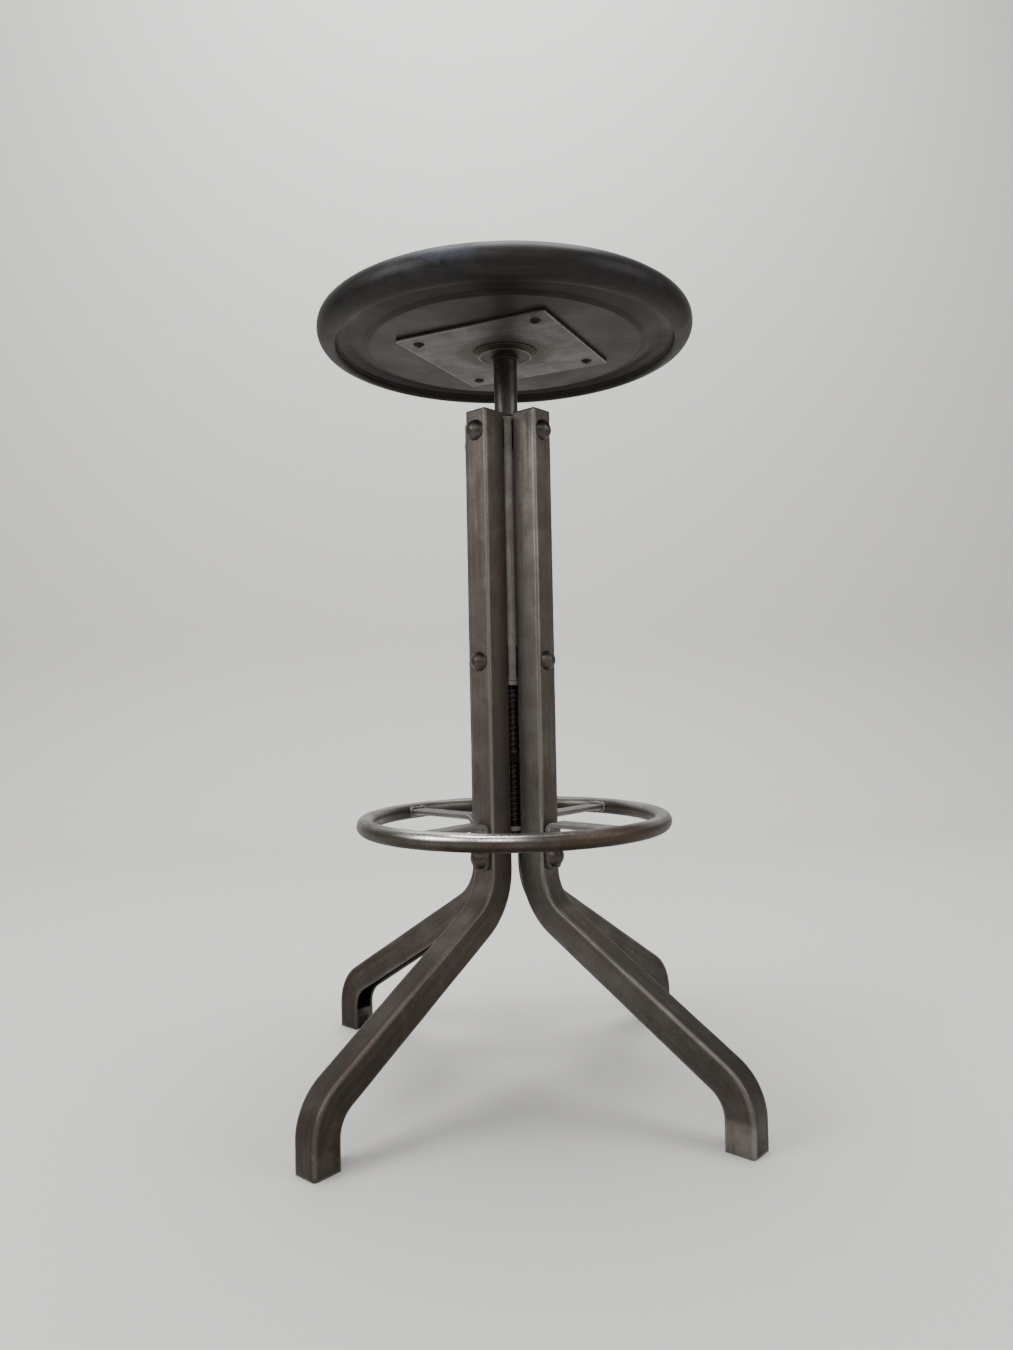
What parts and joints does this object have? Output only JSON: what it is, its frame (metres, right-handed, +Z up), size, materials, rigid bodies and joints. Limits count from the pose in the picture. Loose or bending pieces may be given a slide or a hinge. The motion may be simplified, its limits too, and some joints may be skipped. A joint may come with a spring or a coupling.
{
  "type": "screw stool",
  "caption": "Round wooden seat on a steel screw spindle, which turns up and down in a column of bent channel legs riveted round a tube, with a round-bar footrest ring on flat spokes.",
  "frame": {"origin": "on the floor under the spindle's axis", "axes": "+Z up along the spindle, -Y towards the front, legs on the diagonals"},
  "size_m": [0.3632, 0.3632, 0.7115],
  "materials": {
    "leg_steel": "bare steel with a dark brown-grey patina, rubbed lighter on the edges",
    "ring_steel": "bare steel, worn bright on top, brown patina underneath",
    "spoke_steel": "bare flat bar, dull grey",
    "plate_steel": "bare mottled steel plate",
    "tube_steel": "dull grey steel",
    "spindle_steel": "dark oiled steel",
    "rivet_steel": "dark patinated steel",
    "dark_steel": "blackened steel",
    "insert_steel": "dull dark steel, scuffed",
    "seat_wood": "near-black brown lacquer, satin, scuffed"
  },
  "bodies": {
    "frame": {"guide_tube": "tube_steel", "upper_bush": "dark_steel", "spindle_nut": "dark_steel", "upper_spacers": "dark_steel", "middle_spacers": "dark_steel", "tie_plate": "tube_steel", "upper_rivets": "rivet_steel", "middle_rivets": "rivet_steel", "footrest_rivets": "rivet_steel", "footrest_ring": "ring_steel", "leg_rear_right": "leg_steel", "foot_insert_rear_right": "insert_steel", "footrest_spoke_rear_right": "spoke_steel", "leg_rear_left": "leg_steel", "foot_insert_rear_left": "insert_steel", "footrest_spoke_rear_left": "spoke_steel", "leg_front_left": "leg_steel", "foot_insert_front_left": "insert_steel", "footrest_spoke_front_left": "spoke_steel", "leg_front_right": "leg_steel", "foot_insert_front_right": "insert_steel", "footrest_spoke_front_right": "spoke_steel"},
    "lift": {"stop_washer": "dark_steel"},
    "seat": {"seat": "seat_wood", "seat_plate": "plate_steel", "seat_screws": "dark_steel", "seat_flange": "plate_steel", "spindle": "spindle_steel", "stop_nut": "dark_steel", "split_pin": "dark_steel"}
  },
  "joints": [
    {"name": "seat_lift", "type": "slide", "parent": "frame", "child": "lift", "axis": [0, 0, 1], "range_m": [-0.05, 0.06]},
    {"name": "seat_spin", "type": "hinge", "parent": "lift", "child": "seat", "pos_m": [0, 0, 0.5], "axis": [0, 0, 1], "range_deg": [-3600, 4320]}
  ],
  "couplings": [
    {"joint": "seat_lift", "follows": "seat_spin", "m_per_rad": 0.00079577}
  ]
}
